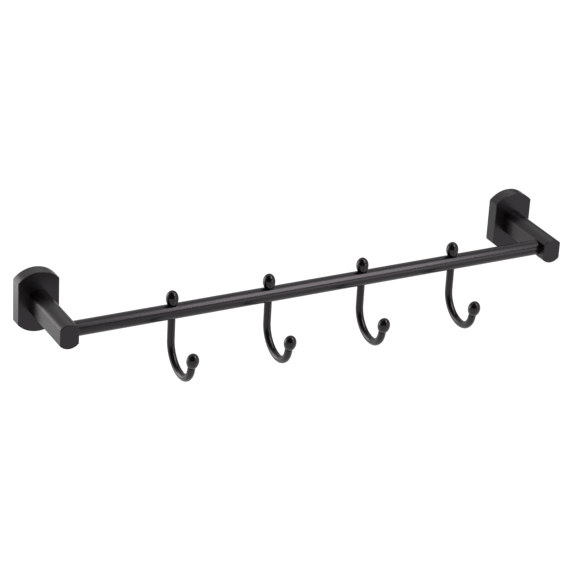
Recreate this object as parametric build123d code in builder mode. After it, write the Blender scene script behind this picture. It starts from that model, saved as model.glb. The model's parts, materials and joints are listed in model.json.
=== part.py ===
from build123d import *
import os

# A wall rail with four towel hooks: two wall plates with flat-sided posts carry a round bar, and
# four J-shaped hooks hang through it, each clamped by an egg-shaped knob and tipped with a bead.
# X runs along the rail, the wall is the plane Y = 0 and the room is on the -Y side, Z is up.
# The origin is the centre of the four wall screw holes, on the wall. All sizes are in millimetres.

# Where things stand
post_spacing = 417.0
post_height = -0.8
post_front = 71.7
rail_set_back = 11.7
hook_count = 4
hook_pitch = 81.0

# Wall plates, hollow at the back
plate_width = 33.0
plate_tall = 49.2
plate_side = 34.3
plate_depth = 10.8
plate_wall = 3.0
plate_face = 3.8
plate_edge = 0.5

# Wall brackets, which the plates cover
bracket_depth = 5.0
bracket_bevel = 0.6
wall_hole_spacing = 26.0
wall_hole_radius = 2.25
wall_sink_radius = 4.2

# Posts
post_width = 15.0
post_tall = 20.0
post_side = 13.0
post_edge = 0.5
post_seat_depth = 0.8

# Rail
rail_radius = 6.0
rail_socket_depth = 10.0
rail_end_play = 0.4
rail_end_bevel = 0.5
spot_margin = 0.75
spot_depth = 0.9

# Hooks: a straight stem, a wide bend past the lowest point, then a tighter bend up to the tip
rod_radius = 3.0
stem_reach = 23.7
wide_radius = 20.4
wide_turn = 97.0
tight_radius = 16.5
tip_lean = 14.4
tip_straight = 3.2
rod_bevel = 0.35
stud_radius = 2.0
stud_in_bead = 6.0

# Egg-shaped beads, one on top of each hook and one on its tip. The pulls say how far the points
# that shape a curve stand from its ends, as shares of the curve's own width and height.
bead_radius = 4.85
bead_belly_height = 5.8
bead_crown = 6.4
bead_bevel = 0.25
neck_pull_out = 0.63
neck_pull_up = 0.24
belly_pull = 0.41
crown_pull = 0.5523

# Post screws
post_screw_radius = 3.0
post_screw_grip = 12.0
post_screw_bevel = 0.6
post_screw_head_radius = 5.0
post_screw_head_depth = 2.6
post_screw_head_bevel = 0.4
post_screw_key = 4.0
post_screw_key_depth = 1.6

# Set screws of the plates and of the rail's ends; the bite is how far the point goes in
plate_grub_radius = 1.5
plate_grub_bite = 1.6
plate_grub_point = 0.9
plate_grub_key = 1.5
rail_grub_radius = 2.0
rail_grub_bite = 0.9
rail_grub_inset = 5.0
rail_grub_point = 0.6
rail_grub_key = 2.0
grub_sunk = 0.3
grub_key_depth = 1.4

# Clearances
slip = 0.1
thread_slip = 0.05
drill_slip = 0.2
cover_slip = 0.3
head_room = 1.0
bore_spare = 1.0

# Worked out from the above
rail_out = post_front - rail_set_back
rail_height = post_height
pocket_depth = plate_depth - plate_face
post_back = plate_depth - post_seat_depth
post_inner_flat = (post_spacing - post_width) / 2
rail_half_length = post_inner_flat + rail_socket_depth - rail_end_play
spot_radius = rod_radius + spot_margin
spot_height = rail_radius - spot_depth
tight_turn = 180 - wide_turn - tip_lean
bead_neck_radius = rod_radius
bead_height = bead_belly_height + bead_crown
plate_grub_out = bracket_depth / 2
plate_grub_length = plate_wall - grub_sunk + cover_slip + plate_grub_bite
hook_places = [(i - (hook_count - 1) / 2) * hook_pitch for i in range(hook_count)]
sides = {"left": -1, "right": 1}

os.makedirs("parts", exist_ok=True)


def save(piece, name):
    """Label a finished piece and write it under its own name."""
    piece.part.label = name
    export_step(piece.part, f"parts/{name}.step")


def wall_plane(x, out, up):
    """A plane parallel to the wall and facing the room, with its origin `out` from the wall."""
    return Plane(origin=(x, -out, up), x_dir=(1, 0, 0), z_dir=(0, -1, 0))


def flat_sided(width, tall, side):
    """The outline of plates and posts: two straight sides joined by a shallow arc at each end."""
    x, z, top = width / 2, side / 2, tall / 2
    with BuildSketch() as outline:
        with BuildLine():
            Line((x, -z), (x, z))
            ThreePointArc((x, z), (0, top), (-x, z))
            Line((-x, z), (-x, -z))
            ThreePointArc((-x, -z), (0, -top), (x, -z))
        make_face()
    return outline.sketch


def arc_drop(width, tall, side, x):
    """How far the end arc of a flat-sided outline lies inside its full height, x from the middle."""
    rise = (tall - side) / 2
    radius = ((width / 2) ** 2 + rise**2) / (2 * rise)
    return radius - (radius**2 - x**2) ** 0.5


# The set screw of each rail end goes in through the underside of the post
post_underside = post_tall / 2 - arc_drop(
    post_width, post_tall, post_side, post_width / 2 - rail_grub_inset
)
rail_grub_length = post_underside - grub_sunk - rail_radius + rail_grub_bite


def plate_grub_plane(side):
    """Where the plate's set screw starts, under the plate, looking up."""
    bottom = -plate_tall / 2 + grub_sunk
    return Plane(origin=(side * post_spacing / 2, -plate_grub_out, bottom), z_dir=(0, 0, 1))


def rail_grub_plane(side):
    """Where the rail's set screw starts, in the underside of the post, looking up."""
    x = side * (post_inner_flat + rail_grub_inset)
    return Plane(origin=(x, -rail_out, post_height - post_underside + grub_sunk), z_dir=(0, 0, 1))


def make_bracket(side, name):
    """The steel plate that is screwed to the wall and hidden under the cover."""
    x = side * post_spacing / 2
    with BuildPart() as bracket:
        with BuildSketch(wall_plane(x, 0, 0)):
            add(flat_sided(plate_width, plate_tall, plate_side))
            offset(amount=-(plate_wall + cover_slip))
        extrude(amount=bracket_depth)
        chamfer(bracket.faces().sort_by(Axis.Y)[0].edges(), length=bracket_bevel)
        with Locations(wall_plane(x, bracket_depth, 0)):
            with GridLocations(1, wall_hole_spacing, 1, 2):
                CounterSinkHole(wall_hole_radius, wall_sink_radius)
        # Room for the post screw's head
        with Locations(wall_plane(x, bracket_depth, post_height)):
            Hole(post_screw_head_radius + head_room)
        # A dimple in the lower edge takes the point of the plate's set screw
        with BuildSketch(plate_grub_plane(side)):
            Circle(plate_grub_radius + cover_slip)
        extrude(amount=plate_grub_length + cover_slip, mode=Mode.SUBTRACT)
    save(bracket, name)


def make_plate(side, name):
    """The cover plate: a cup over the bracket, with a shallow seat in front for the post."""
    x = side * post_spacing / 2
    with BuildPart() as plate:
        with BuildSketch(wall_plane(x, 0, 0)):
            add(flat_sided(plate_width, plate_tall, plate_side))
        extrude(amount=plate_depth)
        fillet(plate.faces().sort_by(Axis.Y)[0].edges(), radius=plate_edge)
        with BuildSketch(wall_plane(x, 0, 0)):
            add(flat_sided(plate_width, plate_tall, plate_side))
            offset(amount=-plate_wall)
        extrude(amount=pocket_depth, mode=Mode.SUBTRACT)
        with BuildSketch(wall_plane(x, post_back, post_height)):
            add(flat_sided(post_width, post_tall, post_side))
            offset(amount=slip)
        extrude(amount=post_seat_depth, mode=Mode.SUBTRACT)
        with Locations(wall_plane(x, plate_depth, post_height)):
            Hole(post_screw_radius + drill_slip)
        with BuildSketch(plate_grub_plane(side).offset(-grub_sunk)):
            Circle(plate_grub_radius + thread_slip)
        extrude(amount=plate_wall + grub_sunk, mode=Mode.SUBTRACT)
    save(plate, name)


def make_post(side, name):
    """The flat-sided post: tapped at the wall end and bored from its inner flat for the rail."""
    x = side * post_spacing / 2
    with BuildPart() as post:
        with BuildSketch(wall_plane(x, post_back, post_height)):
            add(flat_sided(post_width, post_tall, post_side))
        extrude(amount=post_front - post_back)
        fillet(post.faces().sort_by(Axis.Y)[0].edges(), radius=post_edge)
        with BuildSketch(wall_plane(x, post_back, post_height)):
            Circle(post_screw_radius + thread_slip)
        extrude(amount=post_screw_grip + bore_spare, mode=Mode.SUBTRACT)
        socket = Plane(origin=(side * post_inner_flat, -rail_out, rail_height), z_dir=(side, 0, 0))
        with BuildSketch(socket):
            Circle(rail_radius + slip)
        extrude(amount=rail_socket_depth, mode=Mode.SUBTRACT)
        with BuildSketch(rail_grub_plane(side).offset(-grub_sunk - bore_spare)):
            Circle(rail_grub_radius + thread_slip)
        extrude(amount=post_underside + bore_spare, mode=Mode.SUBTRACT)
    save(post, name)


def make_post_screw(side, name):
    """The low-headed screw that holds the post from inside the cover."""
    x = side * post_spacing / 2
    head_back = pocket_depth - post_screw_head_depth
    with BuildPart() as screw:
        with BuildSketch(wall_plane(x, head_back, post_height)):
            Circle(post_screw_head_radius)
        extrude(amount=post_screw_head_depth)
        chamfer(screw.faces().sort_by(Axis.Y)[-1].edges(), length=post_screw_head_bevel)
        with BuildSketch(wall_plane(x, pocket_depth, post_height)):
            Circle(post_screw_radius)
        extrude(amount=post_back - pocket_depth + post_screw_grip)
        chamfer(screw.faces().sort_by(Axis.Y)[0].edges(), length=post_screw_bevel)
        with BuildSketch(wall_plane(x, head_back, post_height)):
            RegularPolygon(post_screw_key / 2, 6, major_radius=False)
        extrude(amount=post_screw_key_depth, mode=Mode.SUBTRACT)
    save(screw, name)


def make_grub(start, radius, length, point, key, name):
    """A set screw that goes in along the plane's normal: a hexagon socket behind, a point ahead."""
    with BuildPart() as grub:
        with BuildSketch(start):
            Circle(radius)
        extrude(amount=length)
        chamfer(grub.edges().sort_by(Axis.Z)[-1], length=point)
        with BuildSketch(start):
            RegularPolygon(key / 2, 6, major_radius=False)
        extrude(amount=grub_key_depth, mode=Mode.SUBTRACT)
    save(grub, name)


def make_rail():
    """The bar, spot-faced and drilled at each hook and dimpled under each end for its set screw."""
    axis = Plane(origin=(0, -rail_out, rail_height))
    with BuildPart() as rail:
        with BuildSketch(Plane(origin=axis.origin, z_dir=(1, 0, 0))):
            Circle(rail_radius)
        extrude(amount=rail_half_length, both=True)
        ends = rail.edges().filter_by(GeomType.CIRCLE).group_by(Axis.X)
        chamfer(ends[0] + ends[-1], length=rail_end_bevel)
        for bottom in (spot_height, -rail_radius):
            with BuildSketch(axis.offset(bottom)):
                with GridLocations(hook_pitch, 1, hook_count, 1):
                    Circle(spot_radius)
            extrude(amount=spot_depth, mode=Mode.SUBTRACT)
        with Locations(axis):
            with GridLocations(hook_pitch, 1, hook_count, 1):
                Hole(stud_radius + slip)
        for side in sides.values():
            with BuildSketch(rail_grub_plane(side)):
                Circle(rail_grub_radius + slip)
            extrude(amount=rail_grub_length + slip, mode=Mode.SUBTRACT)
    save(rail, "rail")


def make_bead(section, name):
    """An egg-shaped bead on the section's Y axis: bored neck at the origin, belly, then crown."""
    flare = bead_radius - bead_neck_radius
    rise = bead_belly_height - bead_bevel
    bore = stud_radius + thread_slip
    bore_end = stud_in_bead + slip
    with BuildPart() as bead:
        with BuildSketch(section):
            with BuildLine():
                Bezier(
                    (bead_neck_radius, bead_bevel),
                    (bead_neck_radius + neck_pull_out * flare, bead_bevel + neck_pull_up * rise),
                    (bead_radius, bead_belly_height - belly_pull * rise),
                    (bead_radius, bead_belly_height),
                )
                Bezier(
                    (bead_radius, bead_belly_height),
                    (bead_radius, bead_belly_height + crown_pull * bead_crown),
                    (crown_pull * bead_radius, bead_height),
                    (0, bead_height),
                )
                Polyline((0, bead_height), (0, bore_end), (bore, bore_end), (bore, 0))
                Polyline((bore, 0), (bead_neck_radius - bead_bevel, 0), (bead_neck_radius, bead_bevel))
            make_face()
        revolve(axis=Axis(section.origin, section.y_dir))
    save(bead, name)


def make_hook(x, number):
    """One hook with its knob above the rail and its bead on the tip."""
    profile = Plane(origin=(x, -rail_out, rail_height), x_dir=(0, -1, 0), z_dir=(-1, 0, 0))
    with BuildPart() as hook:
        with BuildLine(profile) as bend:
            stem = Line((0, -spot_height), (0, -stem_reach))
            wide = JernArc(stem @ 1, stem % 1, wide_radius, wide_turn)
            tight = JernArc(wide @ 1, wide % 1, tight_radius, tight_turn)
            PolarLine(tight @ 1, tip_straight, direction=tight % 1)
        top = Plane(origin=bend.line @ 0, z_dir=bend.line % 0)
        tip = Plane(origin=bend.line @ 1, z_dir=bend.line % 1)
        with BuildSketch(top):
            Circle(rod_radius)
        sweep()
        shoulders = hook.edges().filter_by(GeomType.CIRCLE).filter_by(top)
        shoulders += hook.edges().filter_by(GeomType.CIRCLE).filter_by(tip)
        chamfer(shoulders, length=rod_bevel)
        with BuildSketch(top):
            Circle(stud_radius)
        extrude(amount=-(2 * spot_height + stud_in_bead))
        with BuildSketch(tip):
            Circle(stud_radius)
        extrude(amount=stud_in_bead)
    save(hook, f"hook_{number}")
    knob_seat = profile.origin + Vector(0, 0, spot_height)
    make_bead(Plane(knob_seat, x_dir=profile.x_dir, z_dir=profile.z_dir), f"top_knob_{number}")
    across_tip = tip.z_dir.cross(profile.z_dir)
    make_bead(Plane(tip.origin, x_dir=across_tip, z_dir=profile.z_dir), f"tip_bead_{number}")


for side_name, side in sides.items():
    make_bracket(side, f"{side_name}_wall_bracket")
    make_plate(side, f"{side_name}_wall_plate")
    make_post(side, f"{side_name}_post")
    make_post_screw(side, f"{side_name}_post_screw")
    make_grub(
        plate_grub_plane(side),
        plate_grub_radius,
        plate_grub_length,
        plate_grub_point,
        plate_grub_key,
        f"{side_name}_plate_grub_screw",
    )
    make_grub(
        rail_grub_plane(side),
        rail_grub_radius,
        rail_grub_length,
        rail_grub_point,
        rail_grub_key,
        f"{side_name}_rail_grub_screw",
    )

make_rail()

for i, x in enumerate(hook_places):
    make_hook(x, i + 1)
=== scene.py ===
import json
import math

import bpy
from mathutils import Matrix, Vector

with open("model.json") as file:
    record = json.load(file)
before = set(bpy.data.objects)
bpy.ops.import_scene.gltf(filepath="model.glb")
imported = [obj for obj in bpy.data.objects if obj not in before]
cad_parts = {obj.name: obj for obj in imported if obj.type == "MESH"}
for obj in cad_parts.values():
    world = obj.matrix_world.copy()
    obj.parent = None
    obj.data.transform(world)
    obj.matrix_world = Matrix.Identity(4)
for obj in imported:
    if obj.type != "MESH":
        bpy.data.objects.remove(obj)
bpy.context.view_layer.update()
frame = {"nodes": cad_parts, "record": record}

# Lengths are in metres and angles in degrees. Seen from the rail, azimuth 0 is in front of it and
# 90 is to its right. A level of light of 1 is white.

# The photograph's camera, found by fitting the rail's own measures to it. It looks at a target
# that lies so far to the right of the origin and above it, as the camera sees them.
IMAGE_SIDE = 570
SENSOR = 36.0
FOCAL_PIXELS = 2393.3
AZIMUTH, ELEVATION, ROLL = -28.298, 25.712, 3.197
TARGET_RIGHT, TARGET_UP = 0.00501, -0.02414
DISTANCE = 1.8915
CLIP_NEAR, CLIP_FAR = 0.05, 30.0

# The floor lies well below the rail, as the ground of a white studio does. Beside its lit colour
# it has a glow that only gloss sees, and a stronger one that only the camera sees.
FLOOR_HEIGHT = -0.36
FLOOR_SIDE = 8.0
FLOOR_COLOUR = 0.4
FLOOR_GLOW = 0.37
FLOOR_WHITE = 0.68

# The studio's light on dull surfaces, and how white it looks in gloss. In gloss it is dim where
# the photographer stands and at the far right.
LIGHT_LEVEL = 0.9
WHITE_LEVEL = 0.75
DIM_LEVEL = 0.05
# Azimuth and elevation of each dim zone's middle, and how far off it is dim and white again
DIM_ZONES = ((-38.0, 32.0, 48.0, 64.0), (120.0, 0.0, 10.0, 42.0))

# Each lamp's azimuth, elevation, distance, two sides and level, and the way its first side lies
SOFTBOXES = {
    "key_right": (37, 45, 1.2, (0.42, 0.74), 5.0, (1, 0, 0)),
    "fill_right": (30, 4, 1.1, (0.46, 0.40), 1.25, (1, 0, 0)),
    "overhead": (62, 68, 1.2, (0.5, 0.5), 0.9, (1, 0, 0)),
    "side_left": (-130, 1, 0.65, (0.32, 0.5), 3.2, (0.8, 0.6, 0)),
}

# Black with the photo's slight violet tint, which shows most in its gloss, and how much darker
# and paler its cloudy patches are
BLACK = (0.0024, 0.0021, 0.0024)
GLOSS_TINT = (1.0, 0.92, 0.98)
DARKER, PALER = 0.8, 1.2

# The darker and the paler colour of each bare metal
ZINC = (0.36, 0.37, 0.39), (0.54, 0.55, 0.56)
STEEL = (0.44, 0.44, 0.45), (0.60, 0.60, 0.60)
OXIDE = (0.05, 0.05, 0.055), (0.22, 0.22, 0.23)

# A noise lies mostly between these two values
NOISE_LOW, NOISE_HIGH = 0.3, 0.7


def direction(azimuth, elevation):
    """The way to a place seen from the rail."""
    a, e = math.radians(azimuth), math.radians(elevation)
    return Vector((math.sin(a) * math.cos(e), -math.cos(a) * math.cos(e), math.sin(e)))


def placed(name, data, place, axes):
    """Add an object to the scene, with its place and the ways that its own axes point."""
    thing = bpy.data.objects.new(name, data)
    thing.matrix_world = Matrix.Translation(place) @ Matrix(axes).transposed().to_4x4()
    bpy.context.scene.collection.objects.link(thing)
    return thing


def make_camera():
    back = direction(AZIMUTH, ELEVATION)
    right = (-back).cross(Vector((0, 0, 1))).normalized()
    up = right.cross(-back)
    roll = math.radians(ROLL)
    turned_right = right * math.cos(roll) + up * math.sin(roll)
    turned_up = up * math.cos(roll) - right * math.sin(roll)
    place = right * TARGET_RIGHT + up * TARGET_UP + back * DISTANCE
    data = bpy.data.cameras.new("camera")
    data.sensor_width = SENSOR
    data.lens = FOCAL_PIXELS / IMAGE_SIDE * SENSOR
    data.clip_start, data.clip_end = CLIP_NEAR, CLIP_FAR
    camera = placed("camera", data, place, (turned_right, turned_up, back))
    bpy.context.scene.camera = camera


def make_softbox(name, azimuth, elevation, distance, size, level, along):
    """A lamp of even brightness that faces the rail, its first side turned to the way `along`."""
    data = bpy.data.lights.new(name, "AREA")
    data.shape = "RECTANGLE"
    data.size, data.size_y = size
    # This energy gives the lamp's face the wanted level
    data.energy = level * math.pi * size[0] * size[1]
    back = direction(azimuth, elevation)
    side = (Vector(along) - back * back.dot(Vector(along))).normalized()
    placed(name, data, back * distance, (side, back.cross(side), back))


def plug(tree, value, socket):
    """Link a node's output to a socket, or set a plain number on it."""
    if isinstance(value, bpy.types.NodeSocket):
        tree.links.new(value, socket)
    else:
        socket.default_value = value


def combined(tree, operation, first, second):
    node = tree.nodes.new("ShaderNodeMath")
    node.operation = operation
    plug(tree, first, node.inputs[0])
    plug(tree, second, node.inputs[1])
    return node.outputs["Value"]


def mixed(tree, share, low, high):
    """A number between low and high, at the given share of the way."""
    node = tree.nodes.new("ShaderNodeMix")
    plug(tree, share, node.inputs["Factor"])
    plug(tree, low, node.inputs["A"])
    plug(tree, high, node.inputs["B"])
    return node.outputs["Result"]


def camera_share(tree):
    """1 for what the camera sees with nothing between, and 0 for the rest."""
    return tree.nodes.new("ShaderNodeLightPath").outputs["Is Camera Ray"]


def seen_share(tree):
    """1 for what is seen, in glossy and clear pieces too, and 0 for the light on dull ones."""
    path = tree.nodes.new("ShaderNodeLightPath")
    share = path.outputs["Is Camera Ray"]
    for name in ("Is Glossy Ray", "Is Transmission Ray"):
        share = combined(tree, "MAXIMUM", share, path.outputs[name])
    return share


class Material:
    """A material with its principled shader, and short ways to add the nodes that drive it."""

    def __init__(self, name):
        self.material = bpy.data.materials.new(name)
        self.material.use_nodes = True
        self.tree = self.material.node_tree
        self.shader = self.tree.nodes["Principled BSDF"]
        self.place = self.tree.nodes.new("ShaderNodeTexCoord").outputs["Object"]

    def link(self, start, end):
        self.tree.links.new(start, end)

    def set(self, **values):
        """Set values on the shader's own sockets, each named with _ for a space."""
        for name, value in values.items():
            self.shader.inputs[name.replace("_", " ")].default_value = value

    def stretched(self, stretch):
        """The piece's own coordinates, pressed together along its axes."""
        mapping = self.tree.nodes.new("ShaderNodeMapping")
        mapping.inputs["Scale"].default_value = stretch
        self.link(self.place, mapping.inputs["Vector"])
        return mapping.outputs["Vector"]

    def noise(self, scale, detail=2.0, stretch=None):
        noise = self.tree.nodes.new("ShaderNodeTexNoise")
        noise.inputs["Scale"].default_value = scale
        noise.inputs["Detail"].default_value = detail
        self.link(self.stretched(stretch) if stretch else self.place, noise.inputs["Vector"])
        return noise.outputs["Fac"]

    def spread(self, noise, low=0.0, high=1.0, start=NOISE_LOW, end=NOISE_HIGH):
        """Maps a noise, from start to end, to the range from low to high."""
        node = self.tree.nodes.new("ShaderNodeMapRange")
        node.inputs["From Min"].default_value = start
        node.inputs["From Max"].default_value = end
        node.inputs["To Min"].default_value = low
        node.inputs["To Max"].default_value = high
        self.link(noise, node.inputs["Value"])
        return node.outputs["Result"]

    def blend(self, share, first, second):
        """Maps a share from 0 to 1 to a colour between two colours."""
        node = self.tree.nodes.new("ShaderNodeMix")
        node.data_type = "RGBA"
        ends = [socket for socket in node.inputs if socket.type == "RGBA"]
        ends[0].default_value = (*first, 1)
        ends[1].default_value = (*second, 1)
        self.link(share, node.inputs["Factor"])
        return next(socket for socket in node.outputs if socket.type == "RGBA")

    def bump(self, height, strength, depth, under=None):
        node = self.tree.nodes.new("ShaderNodeBump")
        node.inputs["Strength"].default_value = strength
        node.inputs["Distance"].default_value = depth
        self.link(height, node.inputs["Height"])
        if under:
            self.link(under, node.inputs["Normal"])
        return node.outputs["Normal"]

    def finish(self, colour, roughness, normal):
        self.link(colour, self.shader.inputs["Base Color"])
        self.link(roughness, self.shader.inputs["Roughness"])
        self.link(normal, self.shader.inputs["Normal"])
        return self.material


def scaled(colour, factor):
    return tuple(channel * factor for channel in colour)


def black_coat(name, roughness, vary, peel, grain):
    """A sprayed black coating: orange peel, a finer grain, and gloss that varies a little.

    Peel and grain are the strengths of their bumps, and the roughness goes up and down by vary.
    """
    coat = Material(name)
    coat.set(Specular_Tint=(*GLOSS_TINT, 1))
    cloud = coat.noise(scale=45.0, detail=4.0)
    colour = coat.blend(coat.spread(cloud), scaled(BLACK, DARKER), scaled(BLACK, PALER))
    gloss = coat.spread(cloud, roughness - vary, roughness + vary)
    grained = coat.bump(coat.noise(scale=3200.0), strength=grain, depth=0.0001)
    peeled = coat.bump(coat.noise(scale=900.0), strength=peel, depth=0.0002, under=grained)
    return coat.finish(colour, gloss, peeled)


def zinc_plate(name):
    """Pressed sheet with a zinc coat: pale blue grey with cloudy patches and rolling lines."""
    zinc = Material(name)
    zinc.set(Metallic=1.0)
    cloud = zinc.noise(scale=140.0, detail=5.0)
    lines = zinc.noise(scale=60.0, detail=3.0, stretch=(1.0, 1.0, 25.0))
    colour = zinc.blend(zinc.spread(cloud), *ZINC)
    gloss = zinc.spread(cloud, low=0.48, high=0.62)
    return zinc.finish(colour, gloss, zinc.bump(lines, strength=0.15, depth=0.0002))


def turned_steel(name):
    """A machined screw: even grey steel with fine turning marks and a few dull spots."""
    steel = Material(name)
    steel.set(Metallic=1.0)
    marks = steel.noise(scale=40.0, stretch=(1.0, 90.0, 1.0))
    spots = steel.noise(scale=420.0, detail=4.0)
    colour = steel.blend(steel.spread(spots), *STEEL)
    gloss = steel.spread(marks, low=0.26, high=0.40)
    return steel.finish(colour, gloss, steel.bump(marks, strength=0.2, depth=0.0001))


def oxide_steel(name):
    """A blackened set screw: dark oxide, rubbed paler and smoother in small spots."""
    oxide = Material(name)
    oxide.set(Metallic=1.0)
    rubbed = oxide.noise(scale=1100.0, detail=3.0)
    pits = oxide.noise(scale=1900.0)
    colour = oxide.blend(oxide.spread(rubbed, start=0.5, end=0.75), *OXIDE)
    gloss = oxide.spread(rubbed, low=0.48, high=0.34)
    return oxide.finish(colour, gloss, oxide.bump(pits, strength=0.2, depth=0.0001))


def give_materials():
    """Give each CAD piece the material of its slot in the record."""
    satin_black = black_coat("satin_black", 0.29, vary=0.02, peel=0.05, grain=0.06)
    material_of_slot = {
        "plate_black": satin_black,
        "post_black": satin_black,
        "rail_black": black_coat("rail_black", 0.24, vary=0.015, peel=0.03, grain=0.04),
        "hook_black": black_coat("hook_black", 0.25, vary=0.015, peel=0.02, grain=0.03),
        "bead_black": black_coat("gloss_black", 0.14, vary=0.01, peel=0.03, grain=0.02),
        "bracket_steel": zinc_plate("zinc_plate"),
        "screw_steel": turned_steel("turned_steel"),
        "grub_steel": oxide_steel("oxide_steel"),
    }
    for row in frame["record"]["subparts"]:
        piece = frame["nodes"][row["node"]]
        piece.data.materials.clear()
        piece.data.materials.append(material_of_slot[row["material_slot"]])


def make_floor():
    mesh = bpy.data.meshes.new("floor")
    half = FLOOR_SIDE / 2
    square = ((-half, -half), (half, -half), (half, half), (-half, half))
    mesh.from_pydata([(x, y, FLOOR_HEIGHT) for x, y in square], [], [(0, 1, 2, 3)])
    floor = bpy.data.objects.new("floor", mesh)
    bpy.context.scene.collection.objects.link(floor)
    white = Material("floor_white")
    white.set(
        Base_Color=(FLOOR_COLOUR, FLOOR_COLOUR, FLOOR_COLOUR, 1),
        Roughness=1.0,
        Specular_IOR_Level=0.0,
        Emission_Color=(1, 1, 1, 1),
    )
    in_gloss = mixed(white.tree, seen_share(white.tree), 0.0, FLOOR_GLOW)
    glow = mixed(white.tree, camera_share(white.tree), in_gloss, FLOOR_WHITE)
    white.link(glow, white.shader.inputs["Emission Strength"])
    floor.data.materials.append(white.material)


def level_round_zone(tree, azimuth, elevation, dim_edge, white_edge):
    """How white the studio looks in gloss, with one dim zone."""
    where = tree.nodes.new("ShaderNodeTexCoord")
    toward = tree.nodes.new("ShaderNodeVectorMath")
    toward.operation = "DOT_PRODUCT"
    toward.inputs[1].default_value = direction(azimuth, elevation)
    tree.links.new(where.outputs["Generated"], toward.inputs[0])
    zone = tree.nodes.new("ShaderNodeMapRange")
    zone.interpolation_type = "SMOOTHSTEP"
    zone.inputs["From Min"].default_value = math.cos(math.radians(white_edge))
    zone.inputs["From Max"].default_value = math.cos(math.radians(dim_edge))
    zone.inputs["To Min"].default_value = WHITE_LEVEL
    zone.inputs["To Max"].default_value = DIM_LEVEL
    tree.links.new(toward.outputs["Value"], zone.inputs["Value"])
    return zone.outputs["Result"]


def make_world():
    """A studio that is white to the camera, white with dim zones in gloss, and even as a light."""
    world = bpy.data.worlds.new("studio")
    bpy.context.scene.world = world
    # Otherwise the light on dull surfaces would also brighten gloss where the studio is dim
    world.cycles.sampling_method = "NONE"
    world.use_nodes = True
    tree = world.node_tree
    in_gloss = WHITE_LEVEL
    for zone in DIM_ZONES:
        in_gloss = combined(tree, "MINIMUM", in_gloss, level_round_zone(tree, *zone))
    seen = combined(tree, "MAXIMUM", in_gloss, camera_share(tree))
    background = tree.nodes["Background"]
    background.inputs["Color"].default_value = (1, 1, 1, 1)
    level = mixed(tree, seen_share(tree), LIGHT_LEVEL, seen)
    tree.links.new(level, background.inputs["Strength"])


give_materials()
make_camera()
make_world()
make_floor()
for name, values in SOFTBOXES.items():
    make_softbox(name, *values)

bpy.context.scene.view_settings.view_transform = "Standard"
